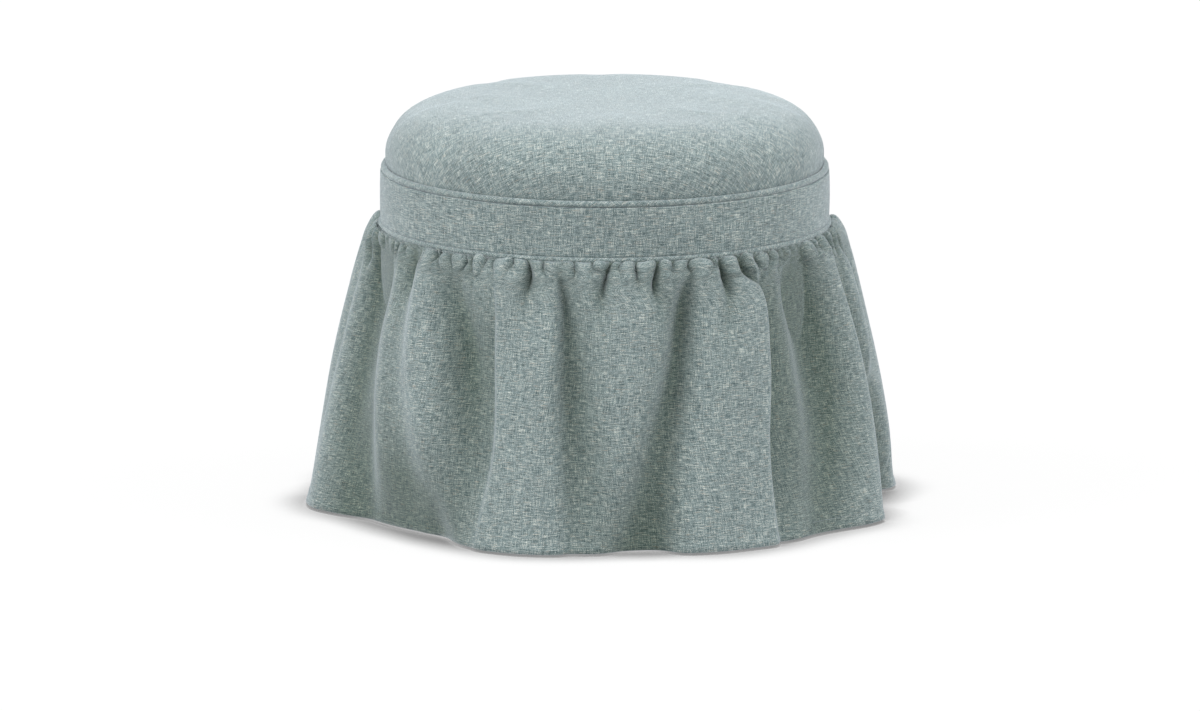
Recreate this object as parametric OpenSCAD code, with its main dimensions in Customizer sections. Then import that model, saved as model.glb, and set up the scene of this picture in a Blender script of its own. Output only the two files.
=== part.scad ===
// Round skirted ottoman: a padded seat on an upholstered drum, with a gathered skirt to the floor.
// Millimetres. Origin on the floor under the middle of the seat, +Z up, front towards -Y.

/* [Overall] */
// Height from the floor to the crown of the seat
overall_h = 480; // [450:1:520]
// Widest diameter of the padded seat
seat_d = 511; // [430:1:600]
// How far the upholstered band stands out past the seat
band_step = 7.7; // [6.9:0.1:14]
// Diameter across the outer folds at the hem
hem_d = 704; // [660:1:760]
// Gap between the hem and the floor
hem_clear = 4.5; // [3:0.5:20]

/* [Seat] */
// Height of the crown above the seam under the seat
seat_thick = 78; // [70:1:95]
// Height of the seat's widest line above that seam
rim_rise = 14; // [10:1:20]
// Depth of the seat's underside below that seam
seat_tuck = 6.2; // [6:0.1:8]
// Inward lean of the seat's side below its widest line
side_draw = 0.8; // [0.4:0.1:1.5]
// Squareness of the seat's shoulder, as the power of its curve
crown_power = 6; // [4:0.5:8]
// Thickness of the wadding over the foam
batting_t = 3.5; // [2:0.5:6]
// Width of the cover turned under the seat board
seat_turn = 60; // [50:1:65]

/* [Cloth] */
// Thickness of the woven cover cloth
cloth_t = 1.2; // [1:0.1:1.4]
// Thickness of the cloth in the skirt, with its nap
skirt_t = 1.6; // [1.2:0.1:1.8]
// Thickness of the black cloth under the frame
dust_t = 0.8; // [0.5:0.1:1]

/* [Band and welts] */
// Height of the wooden drum behind the band
drum_h = 60; // [55:1:90]
// Thickness of the wadding under the band
wadding_t = 5; // [4.9:0.1:5.4]
// Width of the band's cloth turned in over the drum
band_turn = 45; // [40:1:50]
// Radius of the covered cord round the top of the band
top_welt_r = 3.6; // [3.4:0.1:3.8]
// Radius of the covered cord round the foot of the band
low_welt_r = 3.1; // [2.8:0.1:3.2]
// Width of the seam allowance on the welts
welt_allowance = 20; // [18:1:24]

/* [Skirt] */
// How far the gathers puff out just under the band
puff = 21; // [14:1:26]
// Deepest fold of the skirt at the hem
hem_fold = 62; // [40:1:64]
// Deepest fold of the skirt above half height
high_fold = 28; // [12:1:30]
// Depth of the small gathers under the band
gather_depth = 5; // [2:0.5:6]
// Bow of the skirt between the band and the hem
belly = 4; // [0:1:8]
// Height of the skirt's heading up the drum
heading_h = 16; // [14:1:20]

/* [Frame] */
// Thickness of the plywood seat board and rings
ply_t = 15; // [14:1:18]
// Width of the plywood rings
ring_w = 88; // [84:1:100]
// Thickness of the bent plywood hoop
hoop_t = 4; // [3:0.5:5]
// Gap where the hoop's ends meet
hoop_joint = 2; // [1:0.5:4]
// Width of a square leg
leg_w = 40; // [36:1:44]
// Distance from the rings' outer edge to the middle of a leg
leg_inset = 40.1; // [36.1:0.5:44.1]
// Width of a leg block along the circle
block_w = 30; // [26:1:34]

/* [Hardware] */
// Radius of a leg bolt
bolt_r = 4; // [3.5:0.5:4]
// Length of a leg bolt past its two blocks, for the washers and the nut
bolt_tail = 20; // [14:1:30]
// Radius of a frame screw
screw_r = 2; // [1.5:0.25:2.5]
// Length of a frame screw
screw_l = 28; // [24:1:28]
// Radius of a seat screw
seat_screw_r = 2.4; // [2:0.1:2.8]
// Length of a seat screw under its head
seat_screw_l = 28; // [26:1:30]
// Width of a staple
staple_w = 10; // [8:1:12]
// Length of a staple's legs
staple_l = 8; // [6:1:9]
// Radius of a floor glide
glide_r = 12.5; // [11:0.5:15]
// Height of a floor glide
glide_h = 5; // [4.5:0.5:8]

/* [Hidden] */
$fn = 96;

// Clearance between a soft piece and its neighbour, and round glued wood
gap = 0.3;
// Clearance of a screw or bolt in its bore
bore_clear = 0.2;
// How far a cut runs past a face
over = 1;

// Seat
seat_r = seat_d / 2;
seam_z = overall_h - seat_thick;
rim_z = seam_z + rim_rise;
crown_h = overall_h - rim_z;
seat_base_z = seam_z - seat_tuck;
batting_in = cloth_t + gap;
batting_out = batting_in + batting_t;
foam_in = batting_out + gap;
edge_round = foam_in + cloth_t;
board_z = seat_base_z + cloth_t;
board_top = board_z + ply_t;
board_r = seat_r - foam_in;
board_ease = ply_t / 5;
crown_steps = 14;
crown_bunch = 2.5;
edge_steps = 6;

// Drum, counted inwards from the band's face
band_r = seat_r + band_step;
wadding_r = band_r - cloth_t - gap;
hoop_r = wadding_r - wadding_t - gap;
ring_r = hoop_r - hoop_t - gap;
ring_in = ring_r - ring_w;
drum_top = seat_base_z - 2 * cloth_t;
drum_z = drum_top - drum_h;
block_z = drum_z + ply_t;
block_h = drum_h - 2 * ply_t;
block_top = block_z + block_h;

// Staple wire
wire_t = cloth_t / 2;
wire_w = wire_t * 2;

// Layers between the hoop and the band's cloth, at the skirt's heading
heading_r = hoop_r + gap + skirt_t;
tack_in = heading_r + gap;
tack_t = cloth_t;
allow_in = tack_in + tack_t + wire_t + gap;
allow_out = wadding_r;

// Welts
top_welt_ring = seat_r + top_welt_r - gap * 2.3;
top_welt_z = seat_base_z - cloth_t + top_welt_r + gap;
low_welt_ring = band_r - gap - low_welt_r / 4;
low_welt_z = drum_z;
welt_wall = cloth_t * 0.9;
band_foot = low_welt_z + low_welt_r + gap * 1.6;

// Skirt
skirt_top = low_welt_z - low_welt_r - gap;
skirt_drop = skirt_top - hem_clear;
hem_r = hem_d / 2;
puff_run_share = 0.02;
gather_count = 40;
gather_end_share = 0.35;
panel_cols = 60;
seam_angle = 97;
row_shares = [0.03, 0.1, 0.25, 0.45, 0.7, 1];
// Folds at the hem: angle from the front, half width in degrees, depth
hem_folds_shares = [
    [-43, 12, 1], [-62, 13, 0.7], [-5, 6, 0.13], [8, 7.5, 0.61], [49, 9, 0.31],
    [86, 9, 0.5], [126, 10, 0.65], [156, 9, 0.5], [-166, 10, 0.62],
    [-133, 10, 0.72], [-105, 9, 0.48]];
// Folds higher up: angle at the band, at half height and at the hem, half width, depth
high_folds_shares = [
    [-74, -69, -61, 6.5, 1], [-43, -34, -30, 4.5, 0.55], [-13, -4, 0, 5, 0.65],
    [22, 13, 7, 4, 0.95], [56, 57, 50, 7, 1], [79, 77, 80, 3.5, 0.45], [104, 108, 112, 5, 0.7],
    [124, 128, 127, 6, 0.9], [146, 152, 156, 5, 0.8], [170, 174, 176, 4, 0.45],
    [-172, -168, -166, 6, 0.95], [-152, -149, -148, 4, 0.5], [-138, -135, -133, 6.5, 0.95],
    [-116, -109, -105, 5.5, 0.8], [-95, -92, -90, 4, 0.5]];

// Legs and their fixings
leg_angles = [-135, -45, 135, 45];
leg_circle = ring_r - leg_inset;
leg_top = block_top;
block_d = leg_w;
leg_fit = gap;
grip = leg_w + 2 * block_w;
bolt_l = grip + bolt_tail;
bolt_z = block_z + block_h / 2;
bolt_head_w = bolt_r * 3.25;
bolt_head_h = bolt_r * 1.3;
washer_r = bolt_r * 2;
washer_t = bolt_r * 0.4;
nut_h = bolt_r * 1.6;
screw_off = leg_w * 0.28;
screw_head_r = screw_r * 2;
screw_head_h = screw_r * 1.2;
// Screw places round a leg: along the radius, along the circle
top_screws = [[-screw_off, 0], [screw_off, 0], [screw_off, (leg_w + block_w) / 2],
    [screw_off, -(leg_w + block_w) / 2]];
low_screws = [[-screw_off, (leg_w + block_w) / 2], [-screw_off, -(leg_w + block_w) / 2]];
seat_screw_circle = ring_in + ring_w * 0.2;
seat_screw_head_r = seat_screw_r * 2.1;
seat_screw_head_h = seat_screw_r * 1.3;
seat_screw_angles = [0, 90, 180, 270];
glide_screw_l = ply_t * 1.2;
glide_chamfer = glide_h / 5;

// Staples
staple_circle_seat = board_r - seat_turn * 0.8;
staple_circle_band = band_r - band_turn * 0.67;
staple_circle_dust = ring_r - staple_w * 0.7;
staple_z_skirt = drum_z + heading_h * 0.6;

// A solid turned round the middle from points given as radius and height
module turned(points) {
    rotate_extrude() polygon(points);
}

// A ring of rectangular section
module ring(outer, inner, z, h) {
    translate([0, 0, z]) difference() {
        cylinder(h = h, r = outer);
        translate([0, 0, -over]) cylinder(h = h + 2 * over, r = inner);
    }
}

// A place on a circle, turned to face outwards
module on_circle(angle, r) {
    rotate([0, 0, angle]) translate([r, 0, 0]) children();
}

// Half of the seat's section, drawn in all round by the given inset
function crown_share(i) = pow(sin(90 * pow(i / crown_steps, crown_bunch)), 2 / crown_power);
function crown_z(i) = cos(90 * pow(i / crown_steps, crown_bunch));
function seat_points(inset) = concat(
    [[0, seat_base_z + inset]],
    [for (i = [0:edge_steps]) let (a = 90 * i / edge_steps, r = edge_round - inset)
        [seat_r - side_draw - edge_round + r * sin(a), seat_base_z + edge_round - r * cos(a)]],
    [for (i = [crown_steps:-1:0])
        [(seat_r - inset) * crown_share(i), rim_z + (crown_h - inset) * crown_z(i)]]);

// Cloth pulled over the foam and turned under the board
module seat_cover() {
    color("#b4c2c4") difference() {
        turned(seat_points(0));
        turned(seat_points(cloth_t));
        translate([0, 0, seat_base_z - over])
            cylinder(h = cloth_t + 2 * over, r = board_r - seat_turn);
    }
}

// Polyester wadding between the foam and the cloth
module seat_batting() {
    color("white") difference() {
        turned(seat_points(batting_in));
        turned(seat_points(batting_out));
        translate([0, 0, seat_base_z]) cylinder(h = board_top - seat_base_z, r = board_r + gap);
        translate([0, 0, seat_base_z]) cylinder(h = cloth_t + board_ease, r = seat_r);
    }
}

// Foam slab with a domed top and rounded shoulder
module seat_foam() {
    color("#efe6c8") difference() {
        turned(seat_points(foam_in));
        translate([0, 0, seat_base_z]) cylinder(h = board_top - seat_base_z, r = seat_r);
    }
}

// Plywood disc that carries the foam, its lower edge eased
module seat_board() {
    color("burlywood") difference() {
        turned([[0, board_z], [board_r - board_ease, board_z], [board_r, board_z + board_ease],
            [board_r, board_top], [0, board_top]]);
        for (angle = seat_screw_angles) on_circle(angle, seat_screw_circle)
            translate([0, 0, board_z - over])
                cylinder(h = over + seat_screw_l - (board_z - block_top), r = seat_screw_r + bore_clear);
    }
}

// A cord's section, its centre at the given radius and height
module cord_section(ring_at, z, r) {
    translate([ring_at, z]) circle(r = r);
}
module hoop_cord(ring_at, z, r) {
    rotate_extrude() cord_section(ring_at, z, r);
}

// Cloth sewn round a cord, with a flat seam allowance that stops in the wall of the tube
module welt(ring_at, z, r, allow_outer, allow_inner, allow_z, allow_h) {
    rotate_extrude() difference() {
        union() {
            cord_section(ring_at, z, r);
            translate([allow_inner, allow_z]) square([allow_outer - allow_inner, allow_h]);
        }
        cord_section(ring_at, z, r - welt_wall);
    }
}

// Covered cord under the seat, its allowance trapped on the drum
module top_welt() {
    color("#8c9998") welt(top_welt_ring, top_welt_z, top_welt_r,
        top_welt_ring, top_welt_ring - welt_allowance, drum_top + cloth_t, cloth_t);
}
module top_welt_cord() {
    color("ivory") hoop_cord(top_welt_ring, top_welt_z, top_welt_r - welt_wall - gap / 2);
}

// Straight cloth band, its top edge turned in over the drum
module band_cover() {
    color("#909c9b") turned([
        [band_r, band_foot], [band_r, drum_top], [band_r - cloth_t, drum_top + cloth_t],
        [band_r - band_turn, drum_top + cloth_t], [band_r - band_turn, drum_top],
        [band_r - cloth_t, drum_top], [band_r - cloth_t, band_foot]]);
}

// Wadding round the hoop, above the skirt's heading
module band_wadding() {
    color("white") ring(wadding_r, wadding_r - wadding_t, drum_z + heading_h + gap,
        drum_h - heading_h - 2 * gap);
}

// Covered cord round the foot of the band, its allowance behind the band's cloth
module lower_welt() {
    color("#8c9998") welt(low_welt_ring, low_welt_z, low_welt_r,
        allow_out, allow_in, low_welt_z, heading_h - gap);
}
module lower_welt_cord() {
    color("ivory") hoop_cord(low_welt_ring, low_welt_z, low_welt_r - welt_wall - gap / 2);
}

// Card strip that clamps the skirt's heading to the hoop
module tack_strip() {
    color("tan") ring(tack_in + tack_t, tack_in, band_foot, drum_z + heading_h - gap - band_foot);
}

// How much of a fold is left at an angle, for a fold centred at one angle with a half width
function turn_to(a, b) = let (d = (a - b) % 360) d > 180 ? d - 360 : d < -180 ? d + 360 : d;
function bell(a, centre, width) = exp(-pow(turn_to(a, centre) / width, 2));
// A fold's angle at a share of the drop, on a curve through its three angles
function fold_angle(f, t) = f[0] + (4 * f[1] - 3 * f[0] - f[2]) * t
    + 2 * (f[0] - 2 * f[1] + f[2]) * t * t;
function sum(list, i = 0) = i < len(list) ? list[i] + sum(list, i + 1) : 0;
// Outline through the crests of the folds
function crest_r(t) = band_r + puff * (1 - exp(-t / puff_run_share))
    + (hem_r - band_r - puff) * t + belly * sin(180 * t);
function hem_dip(a, t) = hem_fold * pow(t, 1.5)
    * sum([for (f = hem_folds_shares) f[2] * bell(a, f[0], f[1])]);
function high_dip(a, t) = high_fold * min(1, t / 0.12) * (1 - 0.8 * t * t)
    * sum([for (f = high_folds_shares) f[4] * bell(a, fold_angle(f, t), f[3])]);
function gather_dip(a, t) = gather_depth * max(0, 1 - t / gather_end_share)
    * (0.5 - 0.5 * cos(gather_count * a));
function skirt_r(a, t) = crest_r(t) - hem_dip(a, t) - high_dip(a, t) - gather_dip(a, t);

// One edge-to-edge section of the skirt: down its outer face, then up its inner face
function skirt_section(a) = let (
        neck = band_r + gap,
        outer = concat(
            [[heading_r, drum_z + heading_h], [heading_r, skirt_top + gap], [neck, skirt_top - low_welt_r]],
            [for (t = row_shares) [skirt_r(a, t), skirt_top - skirt_drop * t]]),
        rows = len(outer))
    concat(outer, [for (i = [rows - 1:-1:0]) [outer[i][0] - skirt_t,
        i == 0 || i == rows - 1 ? outer[i][1] : outer[i][1] - (i < 3 ? skirt_t / 2 : 0)]]);

// A panel of gathered cloth from one side seam to the other, measured from the front
module skirt_panel(from, to) {
    cols = [for (i = [0:panel_cols]) from + (to - from) * i / panel_cols];
    sections = [for (a = cols) [for (p = skirt_section(a)) [p[0] * sin(a), -p[0] * cos(a), p[1]]]];
    n = len(sections[0]);
    polyhedron(
        points = [for (s = sections) for (p = s) p],
        faces = concat(
            [for (c = [0:panel_cols - 1]) for (i = [0:n - 1])
                [c * n + i, (c + 1) * n + i, c * n + (i + 1) % n]],
            [for (c = [0:panel_cols - 1]) for (i = [0:n - 1])
                [c * n + (i + 1) % n, (c + 1) * n + i, (c + 1) * n + (i + 1) % n]],
            [for (i = [0:n / 2 - 2]) [i, i + 1, n - 1 - i]],
            [for (i = [0:n / 2 - 2]) [i + 1, n - 2 - i, n - 1 - i]],
            [for (i = [0:n / 2 - 2]) let (k = panel_cols * n) [k + i, k + n - 1 - i, k + i + 1]],
            [for (i = [0:n / 2 - 2]) let (k = panel_cols * n)
                [k + i + 1, k + n - 1 - i, k + n - 2 - i]]));
}
module skirt_front() {
    color("#839190") skirt_panel(-seam_angle, seam_angle);
}
module skirt_rear() {
    color("#7d8b8a") skirt_panel(seam_angle, 360 - seam_angle);
}

// Square hole that a leg passes through, in the lower ring and the cloth under it
module leg_hole() {
    cube([leg_w + 2 * leg_fit, leg_w + 2 * leg_fit, 3 * ply_t], center = true);
}

// Black cloth stapled under the frame, cut out for the legs
module dust_cover() {
    color("#222222") difference() {
        translate([0, 0, drum_z - dust_t]) cylinder(h = dust_t, r = ring_r);
        for (angle = leg_angles) on_circle(angle, leg_circle) translate([0, 0, drum_z]) leg_hole();
    }
}

// Countersunk screw pointing down from a face at z = 0
module flat_screw(r, head_r, head_h, l, grow = 0) {
    translate([0, 0, -l - grow]) cylinder(h = l + grow, r = r + grow);
    translate([0, 0, -head_h]) cylinder(h = head_h, r1 = r + grow, r2 = head_r + grow);
}
module frame_screw(grow = 0) {
    flat_screw(screw_r, screw_head_r, screw_head_h, screw_l, grow);
}
// Every frame screw, pointing in from the faces of the two rings
module all_frame_screws(grow = 0) {
    for (angle = leg_angles) on_circle(angle, leg_circle) {
        for (p = top_screws) translate([p[0], p[1], drum_top]) frame_screw(grow);
        for (p = low_screws) translate([p[0], p[1], drum_z]) mirror([0, 0, 1]) frame_screw(grow);
    }
}

// Upper plywood ring, drilled for the frame and seat screws
module top_ring() {
    color("burlywood") difference() {
        ring(ring_r, ring_in, block_top, ply_t);
        all_frame_screws(bore_clear);
        for (angle = seat_screw_angles) on_circle(angle, seat_screw_circle)
            translate([0, 0, block_top - over])
                cylinder(h = ply_t + 2 * over, r = seat_screw_r + bore_clear);
    }
}

// Lower plywood ring, with a square hole round each leg
module lower_ring() {
    color("burlywood") difference() {
        ring(ring_r, ring_in, drum_z, ply_t);
        all_frame_screws(bore_clear);
        for (angle = leg_angles) on_circle(angle, leg_circle) translate([0, 0, drum_z]) leg_hole();
    }
}

// Thin plywood bent round the two rings, its ends meeting at the back
module drum_hoop() {
    color("wheat") difference() {
        ring(hoop_r, ring_r + gap, drum_z, drum_h);
        translate([0, hoop_r, drum_z + drum_h / 2])
            cube([hoop_joint, hoop_t * 4, drum_h + 2 * over], center = true);
    }
}

// Square leg up to the top ring, with its bolt bore and screw holes
module leg(angle) {
    color("tan") difference() {
        on_circle(angle, leg_circle) translate([-leg_w / 2, -leg_w / 2, glide_h])
            cube([leg_w, leg_w, leg_top - glide_h]);
        on_circle(angle, leg_circle) {
            bolt_bore();
            for (p = top_screws) translate([p[0], p[1], drum_top]) frame_screw(bore_clear);
            glide_bore();
        }
    }
}
module leg_front_left() { leg(leg_angles[0]); }
module leg_front_right() { leg(leg_angles[1]); }
module leg_rear_left() { leg(leg_angles[2]); }
module leg_rear_right() { leg(leg_angles[3]); }

// Clearance bore for a leg bolt, along the circle through both blocks
module bolt_bore() {
    translate([0, grip / 2 + over, bolt_z]) rotate([90, 0, 0])
        cylinder(h = grip + 2 * over, r = bolt_r + bore_clear);
}

// Hardwood blocks on both sides of each leg, between the rings
module leg_blocks() {
    color("peru") for (angle = leg_angles) for (side = [-1, 1]) difference() {
        on_circle(angle, leg_circle) translate([0, side * (leg_w + block_w) / 2, bolt_z])
            cube([block_d, block_w, block_h], center = true);
        on_circle(angle, leg_circle) {
            bolt_bore();
            for (p = top_screws) translate([p[0], p[1], drum_top]) frame_screw(bore_clear);
            for (p = low_screws) translate([p[0], p[1], drum_z]) mirror([0, 0, 1])
                frame_screw(bore_clear);
        }
    }
}

// Hexagon bolt along the circle, its head clear of one block by a washer
module leg_bolts() {
    color("silver") for (angle = leg_angles) on_circle(angle, leg_circle)
        translate([0, -grip / 2 - washer_t, bolt_z]) rotate([-90, 0, 0]) {
            cylinder(h = bolt_l, r = bolt_r);
            translate([0, 0, -bolt_head_h])
                cylinder(h = bolt_head_h, r = bolt_head_w / sqrt(3), $fn = 6);
        }
}
module leg_washers() {
    color("silver") for (angle = leg_angles) for (side = [-1, 1]) on_circle(angle, leg_circle)
        translate([0, side * (grip + washer_t) / 2, bolt_z]) rotate([90, 0, 0])
            translate([0, 0, -washer_t / 2]) ring(washer_r, bolt_r + bore_clear, 0, washer_t);
}
module leg_nuts() {
    color("silver") for (angle = leg_angles) on_circle(angle, leg_circle)
        translate([0, grip / 2 + washer_t, bolt_z]) rotate([-90, 0, 0]) difference() {
            cylinder(h = nut_h, r = bolt_head_w / sqrt(3), $fn = 6);
            translate([0, 0, -over]) cylinder(h = nut_h + 2 * over, r = bolt_r + bore_clear / 4);
        }
}

module frame_screws() {
    color("silver") all_frame_screws();
}

// Pan-head screws up through the top ring into the seat board
module seat_screws() {
    color("silver") for (angle = seat_screw_angles) on_circle(angle, seat_screw_circle)
        translate([0, 0, block_top]) {
            cylinder(h = seat_screw_l, r = seat_screw_r);
            translate([0, 0, -seat_screw_head_h])
                cylinder(h = seat_screw_head_h, r = seat_screw_head_r);
        }
}

// Wire staple with its crown on a face at z = 0 and its legs pointing down
module staple() {
    translate([0, wire_w / 2, 0]) rotate([90, 0, 0]) linear_extrude(wire_w) difference() {
        translate([-staple_w / 2, -staple_l]) square([staple_w, staple_l + wire_t]);
        translate([-staple_w / 2 + wire_w, -staple_l - over])
            square([staple_w - 2 * wire_w, staple_l + over]);
    }
}
// Staples spread round a circle, each along it
module staple_circle(count, r, z, up) {
    for (i = [0:count - 1]) rotate([0, 0, 360 * (i + 0.5) / count]) translate([r, 0, z])
        mirror([0, 0, up ? 1 : 0]) rotate([0, 0, 90]) staple();
}
module seat_cover_staples() {
    color("gray") staple_circle(24, staple_circle_seat, seat_base_z, true);
}
module band_cover_staples() {
    color("gray") staple_circle(24, staple_circle_band, drum_top + cloth_t, false);
}
module dust_cover_staples() {
    color("gray") staple_circle(20, staple_circle_dust, drum_z - dust_t, true);
}
// Staples through the card strip and the skirt's heading into the hoop
module skirt_staples() {
    color("gray") for (i = [0:31]) rotate([0, 0, 360 * (i + 0.5) / 32])
        translate([tack_in + tack_t, 0, staple_z_skirt]) rotate([0, 90, 0]) rotate([0, 0, 90])
            staple();
}

// Nylon discs under the legs, which the ottoman stands on
module floor_glides() {
    color("#333333") for (angle = leg_angles) on_circle(angle, leg_circle) difference() {
        turned([[0, 0], [glide_r - glide_chamfer, 0], [glide_r, glide_chamfer],
            [glide_r, glide_h], [0, glide_h]]);
        glide_bore();
    }
}
// Countersunk screw up through a glide into its leg, its head sunk above the floor
module glide_screw(grow = 0) {
    translate([0, 0, glide_chamfer]) mirror([0, 0, 1])
        flat_screw(screw_r, screw_head_r, screw_head_h, glide_screw_l, grow);
}
module glide_bore() {
    glide_screw(bore_clear);
    translate([0, 0, -over]) cylinder(h = over + glide_chamfer, r = screw_head_r + bore_clear);
}
module glide_screws() {
    color("silver") for (angle = leg_angles) on_circle(angle, leg_circle) glide_screw();
}

seat_cover();
seat_batting();
seat_foam();
seat_board();
top_welt();
top_welt_cord();
band_cover();
band_wadding();
lower_welt();
lower_welt_cord();
skirt_front();
skirt_rear();
tack_strip();
dust_cover();
top_ring();
lower_ring();
drum_hoop();
leg_front_left();
leg_front_right();
leg_rear_left();
leg_rear_right();
leg_blocks();
leg_bolts();
leg_washers();
leg_nuts();
frame_screws();
seat_screws();
seat_cover_staples();
band_cover_staples();
skirt_staples();
dust_cover_staples();
floor_glides();
glide_screws();
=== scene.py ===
import math
import random

import bmesh
import bpy
import numpy as np
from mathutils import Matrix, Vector
from mathutils.geometry import delaunay_2d_cdt


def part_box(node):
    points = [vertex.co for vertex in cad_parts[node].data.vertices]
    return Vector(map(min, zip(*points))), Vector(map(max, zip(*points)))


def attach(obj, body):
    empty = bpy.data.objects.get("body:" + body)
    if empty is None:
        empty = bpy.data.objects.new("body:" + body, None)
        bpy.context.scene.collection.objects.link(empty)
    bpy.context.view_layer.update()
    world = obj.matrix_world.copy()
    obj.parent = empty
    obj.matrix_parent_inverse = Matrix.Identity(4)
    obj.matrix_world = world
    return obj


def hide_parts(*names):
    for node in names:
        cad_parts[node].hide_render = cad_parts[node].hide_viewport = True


# Round skirted ottoman: crowned seat, welted band and gathered skirt in one slubby grey-green cloth.
# Metres. +Z up, front towards -Y. Angles round the ottoman are measured from the front, positive
# towards +X.

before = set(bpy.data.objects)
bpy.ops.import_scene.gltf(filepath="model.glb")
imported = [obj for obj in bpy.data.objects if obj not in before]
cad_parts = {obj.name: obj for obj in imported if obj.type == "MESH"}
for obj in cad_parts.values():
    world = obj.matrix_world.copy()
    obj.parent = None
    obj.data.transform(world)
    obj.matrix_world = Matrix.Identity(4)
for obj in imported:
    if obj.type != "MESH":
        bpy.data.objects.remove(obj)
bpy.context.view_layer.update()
random.seed(41)
MM = 0.001
TURN = 2 * math.pi
CORNERS = [(-1, -1), (1, -1), (1, 1), (-1, 1)]
WHITE = (1, 1, 1, 1)

# Sizes taken from the frame

seat_low, seat_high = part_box("seat_cover")
band_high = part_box("band_cover")[1]
top_welt_low, top_welt_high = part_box("top_welt")
low_welt_low, low_welt_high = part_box("lower_welt")
dust_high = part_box("dust_cover")[1]

SEAT_R = seat_high.x
BAND_R = band_high.x
TOP_WELT_R = (top_welt_high.z - top_welt_low.z) / 2
TOP_WELT_RING = top_welt_high.x - TOP_WELT_R
TOP_WELT_Z = (top_welt_high.z + top_welt_low.z) / 2
LOW_WELT_R = 3.1 * MM
LOW_WELT_RING = low_welt_high.x - LOW_WELT_R
LOW_WELT_Z = low_welt_low.z + LOW_WELT_R
CLOTH_T = 1.4 * MM

# Camera: a long lens a little above the seat's edge, square to the front

VIEW_DISTANCE = 20.0
VIEW_ELEVATION = math.radians(10.65)
VIEW_AIM = Vector((-0.0056, 0, 0.1723))
SENSOR_W = 36.0
LENS = 511.7

lens = bpy.data.cameras.new("camera")
lens.sensor_fit = "HORIZONTAL"
lens.sensor_width = SENSOR_W
lens.lens = LENS
lens.clip_start = VIEW_DISTANCE / 20
lens.clip_end = VIEW_DISTANCE * 3
camera = bpy.data.objects.new("camera", lens)
bpy.context.scene.collection.objects.link(camera)
to_camera = Vector((0, -math.cos(VIEW_ELEVATION), math.sin(VIEW_ELEVATION)))
camera.location = VIEW_AIM + to_camera * VIEW_DISTANCE
camera.rotation_mode = "QUATERNION"
camera.rotation_quaternion = (-to_camera).to_track_quat("-Z", "Y")
bpy.context.scene.camera = camera


# Small tools


def srgb(code):
    """A hex colour as linear RGBA."""
    parts = [int(code[i:i + 2], 16) / 255 for i in (1, 3, 5)]
    return [c / 12.92 if c <= 0.04045 else ((c + 0.055) / 1.055) ** 2.4 for c in parts] + [1]


def glide(stations, values, at):
    """Values that run smoothly through the stations, by cubic Hermite steps."""
    x = np.asarray(stations, float)
    y = np.asarray(values, float)
    slopes = np.gradient(y, x)
    at = np.clip(np.asarray(at, float), x[0], x[-1])
    i = np.clip(np.searchsorted(x, at, side="right") - 1, 0, len(x) - 2)
    step = x[i + 1] - x[i]
    s = (at - x[i]) / step
    start = (2 * s**3 - 3 * s**2 + 1) * y[i] + (s**3 - 2 * s**2 + s) * step * slopes[i]
    end = (-2 * s**3 + 3 * s**2) * y[i + 1] + (s**3 - s**2) * step * slopes[i + 1]
    return start + end


def run_along(line):
    """The way along a line of points, up to each of them."""
    steps = np.linalg.norm(np.diff(line, axis=0), axis=1)
    return np.concatenate([[0], np.cumsum(steps)])


def put_in_scene(name, data):
    """A new object in the scene."""
    made = bpy.data.objects.new(name, data)
    bpy.context.scene.collection.objects.link(made)
    return made


def object_from(name, points, faces, cloth_uv=None, smooth=True):
    """A mesh object from points and faces; cloth_uv holds a place on the flat cloth for each point."""
    mesh = bpy.data.meshes.new(name)
    mesh.from_pydata([tuple(p) for p in points], [], [tuple(f) for f in faces])
    if cloth_uv is not None:
        layer = mesh.uv_layers.new(name="cloth")
        corner = np.empty(len(mesh.loops), np.int64)
        mesh.loops.foreach_get("vertex_index", corner)
        layer.data.foreach_set("uv", np.asarray(cloth_uv, np.float32)[corner].ravel())
    mesh.polygons.foreach_set("use_smooth", [smooth] * len(mesh.polygons))
    mesh.validate()
    return put_in_scene(name, mesh)


def ring_grid(name, rings, uv_rings):
    """A tube of cloth from closed rings of points, with its seam of UVs kept apart."""
    rows, columns = rings.shape[:2]
    mesh = bpy.data.meshes.new(name)
    index = np.arange(rows * columns).reshape(rows, columns)
    a = index[:-1]
    b = index[1:]
    faces = np.stack([a, np.roll(a, -1, 1), np.roll(b, -1, 1), b], -1).reshape(-1, 4)
    mesh.from_pydata(rings.reshape(-1, 3).tolist(), [], faces.tolist())
    wide = np.stack([uv_rings[:-1, :-1], uv_rings[:-1, 1:], uv_rings[1:, 1:], uv_rings[1:, :-1]], 2)
    layer = mesh.uv_layers.new(name="cloth")
    layer.data.foreach_set("uv", wide.astype(np.float32).ravel())
    mesh.polygons.foreach_set("use_smooth", [True] * len(mesh.polygons))
    return put_in_scene(name, mesh)


def round_points(radius, angle, z):
    """Points at an angle from the front."""
    return np.stack([radius * np.sin(angle), -radius * np.cos(angle), z + 0 * angle], -1)


def wander(angle, amounts, shift=0.0):
    """A slow, closed wander round the ottoman from a few waves of (count, size)."""
    total = 0 * angle
    for i, (count, size) in enumerate(amounts):
        total = total + size * np.sin(count * angle + 1.7 * i + shift * (1 + 0.3 * i))
    return total


# Materials


def add(tree, kind, inputs=None, **settings):
    """A new shader node with its settings, each input filled with a value or linked to a socket."""
    made = tree.nodes.new("ShaderNode" + kind)
    for name, value in settings.items():
        setattr(made, name, value)
    for socket, value in (inputs or {}).items():
        if isinstance(value, bpy.types.NodeSocket):
            tree.links.new(value, made.inputs[socket])
        else:
            made.inputs[socket].default_value = value
    return made


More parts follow.
